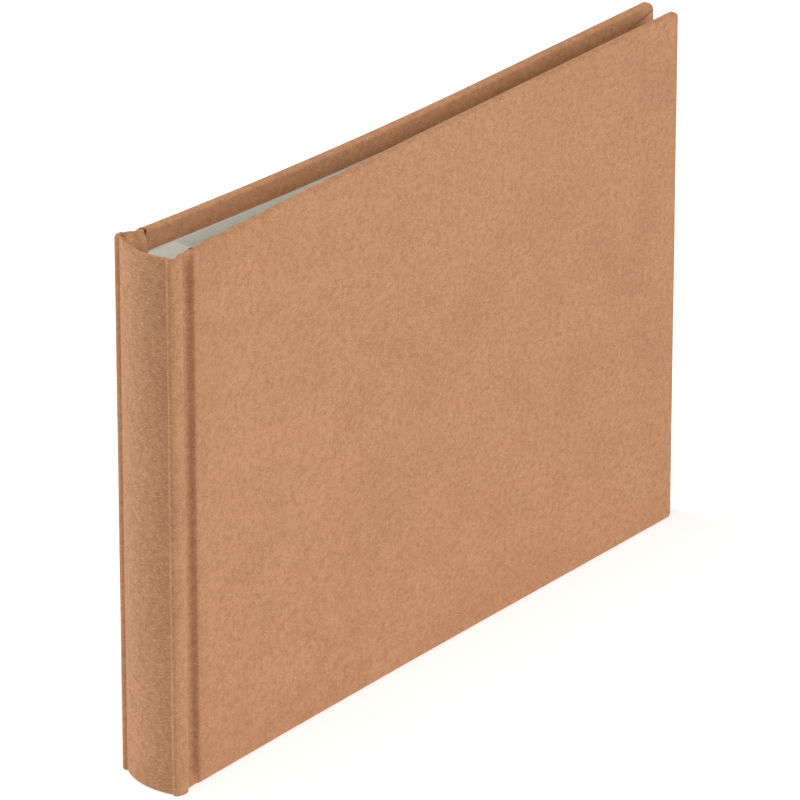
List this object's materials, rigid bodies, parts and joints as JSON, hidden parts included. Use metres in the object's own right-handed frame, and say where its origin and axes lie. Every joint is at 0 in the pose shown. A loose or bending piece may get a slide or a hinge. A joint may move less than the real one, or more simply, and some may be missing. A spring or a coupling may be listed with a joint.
{
  "type": "scrapbook album",
  "caption": "Landscape case-bound scrapbook album with kraft paper covers, a rounded spine, grooved joints and blank card leaves, standing on its tail edge.",
  "frame": {"origin": "middle of the closed album's box in plan, on the surface it stands on", "axes": "+X from the spine to the fore-edge, +Y from the front cover to the back cover, +Z from tail to head"},
  "size_m": [0.2436, 0.0254, 0.171],
  "materials": {
    "kraft_covering": "matte",
    "greyboard": "matte",
    "spine_card": "matte",
    "endpaper": "matte",
    "leaf_card": "matte",
    "lining_cloth": "matte",
    "binding_glue": "satin"
  },
  "bodies": {
    "binding": {"spine_paper": "kraft_covering", "spine_strip": "spine_card", "spine_lining": "lining_cloth", "spine_glue": "binding_glue", "guard_01": "leaf_card", "guard_02": "leaf_card", "guard_03": "leaf_card", "guard_04": "leaf_card", "guard_05": "leaf_card", "guard_06": "leaf_card", "guard_07": "leaf_card", "guard_08": "leaf_card", "guard_09": "leaf_card", "guard_10": "leaf_card", "guard_11": "leaf_card", "guard_12": "leaf_card", "guard_13": "leaf_card", "guard_14": "leaf_card", "guard_15": "leaf_card", "guard_16": "leaf_card", "guard_17": "leaf_card", "guard_18": "leaf_card"},
    "front_cover": {"front_cover_board": "greyboard", "front_cover_paper": "kraft_covering", "front_hinge_cloth": "lining_cloth", "front_pastedown": "endpaper"},
    "back_cover": {"back_cover_board": "greyboard", "back_cover_paper": "kraft_covering", "back_hinge_cloth": "lining_cloth", "back_pastedown": "endpaper"},
    "front_flyleaf": {"front_flyleaf": "endpaper"},
    "back_flyleaf": {"back_flyleaf": "endpaper"},
    "leaf_01": {"leaf_01": "leaf_card"},
    "leaf_02": {"leaf_02": "leaf_card"},
    "leaf_03": {"leaf_03": "leaf_card"},
    "leaf_04": {"leaf_04": "leaf_card"},
    "leaf_05": {"leaf_05": "leaf_card"},
    "leaf_06": {"leaf_06": "leaf_card"},
    "leaf_07": {"leaf_07": "leaf_card"},
    "leaf_08": {"leaf_08": "leaf_card"},
    "leaf_09": {"leaf_09": "leaf_card"},
    "leaf_10": {"leaf_10": "leaf_card"},
    "leaf_11": {"leaf_11": "leaf_card"},
    "leaf_12": {"leaf_12": "leaf_card"},
    "leaf_13": {"leaf_13": "leaf_card"},
    "leaf_14": {"leaf_14": "leaf_card"},
    "leaf_15": {"leaf_15": "leaf_card"},
    "leaf_16": {"leaf_16": "leaf_card"},
    "leaf_17": {"leaf_17": "leaf_card"},
    "leaf_18": {"leaf_18": "leaf_card"}
  },
  "joints": [
    {"name": "front_cover_hinge", "type": "hinge", "parent": "binding", "child": "front_cover", "pos_m": [-0.11568, -0.01177, 0.085], "axis": [0, 0, -1], "range_deg": [0, 180]},
    {"name": "back_cover_hinge", "type": "hinge", "parent": "binding", "child": "back_cover", "pos_m": [-0.11368, 0.01238, 0.085], "axis": [0, 0, 1], "range_deg": [0, 180]},
    {"name": "front_flyleaf_turn", "type": "hinge", "parent": "binding", "child": "front_flyleaf", "pos_m": [-0.10968, -0.00757, 0.0835], "axis": [0, 0, -1], "range_deg": [0, 135]},
    {"name": "leaf_01_turn", "type": "hinge", "parent": "binding", "child": "leaf_01", "pos_m": [-0.09808, -0.0066, 0.0835], "axis": [0, 0, -1], "range_deg": [0, 64.8]},
    {"name": "leaf_02_turn", "type": "hinge", "parent": "binding", "child": "leaf_02", "pos_m": [-0.09798, -0.00583, 0.0835], "axis": [0, 0, -1], "range_deg": [0, 57.6]},
    {"name": "leaf_03_turn", "type": "hinge", "parent": "binding", "child": "leaf_03", "pos_m": [-0.09788, -0.00506, 0.0835], "axis": [0, 0, -1], "range_deg": [0, 50.4]},
    {"name": "leaf_04_turn", "type": "hinge", "parent": "binding", "child": "leaf_04", "pos_m": [-0.09778, -0.00429, 0.0835], "axis": [0, 0, -1], "range_deg": [0, 43.2]},
    {"name": "leaf_05_turn", "type": "hinge", "parent": "binding", "child": "leaf_05", "pos_m": [-0.09768, -0.00353, 0.0835], "axis": [0, 0, -1], "range_deg": [0, 36]},
    {"name": "leaf_06_turn", "type": "hinge", "parent": "binding", "child": "leaf_06", "pos_m": [-0.09758, -0.00276, 0.0835], "axis": [0, 0, -1], "range_deg": [0, 28.8]},
    {"name": "leaf_07_turn", "type": "hinge", "parent": "binding", "child": "leaf_07", "pos_m": [-0.09748, -0.002, 0.0835], "axis": [0, 0, -1], "range_deg": [0, 21.6]},
    {"name": "leaf_08_turn", "type": "hinge", "parent": "binding", "child": "leaf_08", "pos_m": [-0.09738, -0.00124, 0.0835], "axis": [0, 0, -1], "range_deg": [0, 14.4]},
    {"name": "leaf_09_turn", "type": "hinge", "parent": "binding", "child": "leaf_09", "pos_m": [-0.09728, -0.00047, 0.0835], "axis": [0, 0, -1], "range_deg": [0, 7.2]},
    {"name": "leaf_10_turn", "type": "hinge", "parent": "binding", "child": "leaf_10", "pos_m": [-0.09718, 0.00028, 0.0835], "axis": [0, 0, 1], "range_deg": [0, 7.2]},
    {"name": "leaf_11_turn", "type": "hinge", "parent": "binding", "child": "leaf_11", "pos_m": [-0.09708, 0.00104, 0.0835], "axis": [0, 0, 1], "range_deg": [0, 14.4]},
    {"name": "leaf_12_turn", "type": "hinge", "parent": "binding", "child": "leaf_12", "pos_m": [-0.09698, 0.0018, 0.0835], "axis": [0, 0, 1], "range_deg": [0, 21.6]},
    {"name": "leaf_13_turn", "type": "hinge", "parent": "binding", "child": "leaf_13", "pos_m": [-0.09688, 0.00256, 0.0835], "axis": [0, 0, 1], "range_deg": [0, 28.8]},
    {"name": "leaf_14_turn", "type": "hinge", "parent": "binding", "child": "leaf_14", "pos_m": [-0.09678, 0.00331, 0.0835], "axis": [0, 0, 1], "range_deg": [0, 36]},
    {"name": "leaf_15_turn", "type": "hinge", "parent": "binding", "child": "leaf_15", "pos_m": [-0.09668, 0.00407, 0.0835], "axis": [0, 0, 1], "range_deg": [0, 43.2]},
    {"name": "leaf_16_turn", "type": "hinge", "parent": "binding", "child": "leaf_16", "pos_m": [-0.09658, 0.00482, 0.0835], "axis": [0, 0, 1], "range_deg": [0, 50.4]},
    {"name": "leaf_17_turn", "type": "hinge", "parent": "binding", "child": "leaf_17", "pos_m": [-0.09648, 0.00557, 0.0835], "axis": [0, 0, 1], "range_deg": [0, 57.6]},
    {"name": "leaf_18_turn", "type": "hinge", "parent": "binding", "child": "leaf_18", "pos_m": [-0.09638, 0.00632, 0.0835], "axis": [0, 0, 1], "range_deg": [0, 64.8]},
    {"name": "back_flyleaf_turn", "type": "hinge", "parent": "binding", "child": "back_flyleaf", "pos_m": [-0.10778, 0.00818, 0.0835], "axis": [0, 0, 1], "range_deg": [0, 135]}
  ],
  "couplings": [
    {"joint": "front_flyleaf_turn", "follows": "front_cover_hinge", "ratio": 0.75},
    {"joint": "leaf_01_turn", "follows": "front_cover_hinge", "ratio": 0.36},
    {"joint": "leaf_02_turn", "follows": "front_cover_hinge", "ratio": 0.32},
    {"joint": "leaf_03_turn", "follows": "front_cover_hinge", "ratio": 0.28},
    {"joint": "leaf_04_turn", "follows": "front_cover_hinge", "ratio": 0.24},
    {"joint": "leaf_05_turn", "follows": "front_cover_hinge", "ratio": 0.2},
    {"joint": "leaf_06_turn", "follows": "front_cover_hinge", "ratio": 0.16},
    {"joint": "leaf_07_turn", "follows": "front_cover_hinge", "ratio": 0.12},
    {"joint": "leaf_08_turn", "follows": "front_cover_hinge", "ratio": 0.08},
    {"joint": "leaf_09_turn", "follows": "front_cover_hinge", "ratio": 0.04},
    {"joint": "leaf_10_turn", "follows": "back_cover_hinge", "ratio": 0.04},
    {"joint": "leaf_11_turn", "follows": "back_cover_hinge", "ratio": 0.08},
    {"joint": "leaf_12_turn", "follows": "back_cover_hinge", "ratio": 0.12},
    {"joint": "leaf_13_turn", "follows": "back_cover_hinge", "ratio": 0.16},
    {"joint": "leaf_14_turn", "follows": "back_cover_hinge", "ratio": 0.2},
    {"joint": "leaf_15_turn", "follows": "back_cover_hinge", "ratio": 0.24},
    {"joint": "leaf_16_turn", "follows": "back_cover_hinge", "ratio": 0.28},
    {"joint": "leaf_17_turn", "follows": "back_cover_hinge", "ratio": 0.32},
    {"joint": "leaf_18_turn", "follows": "back_cover_hinge", "ratio": 0.36},
    {"joint": "back_flyleaf_turn", "follows": "back_cover_hinge", "ratio": 0.75}
  ]
}
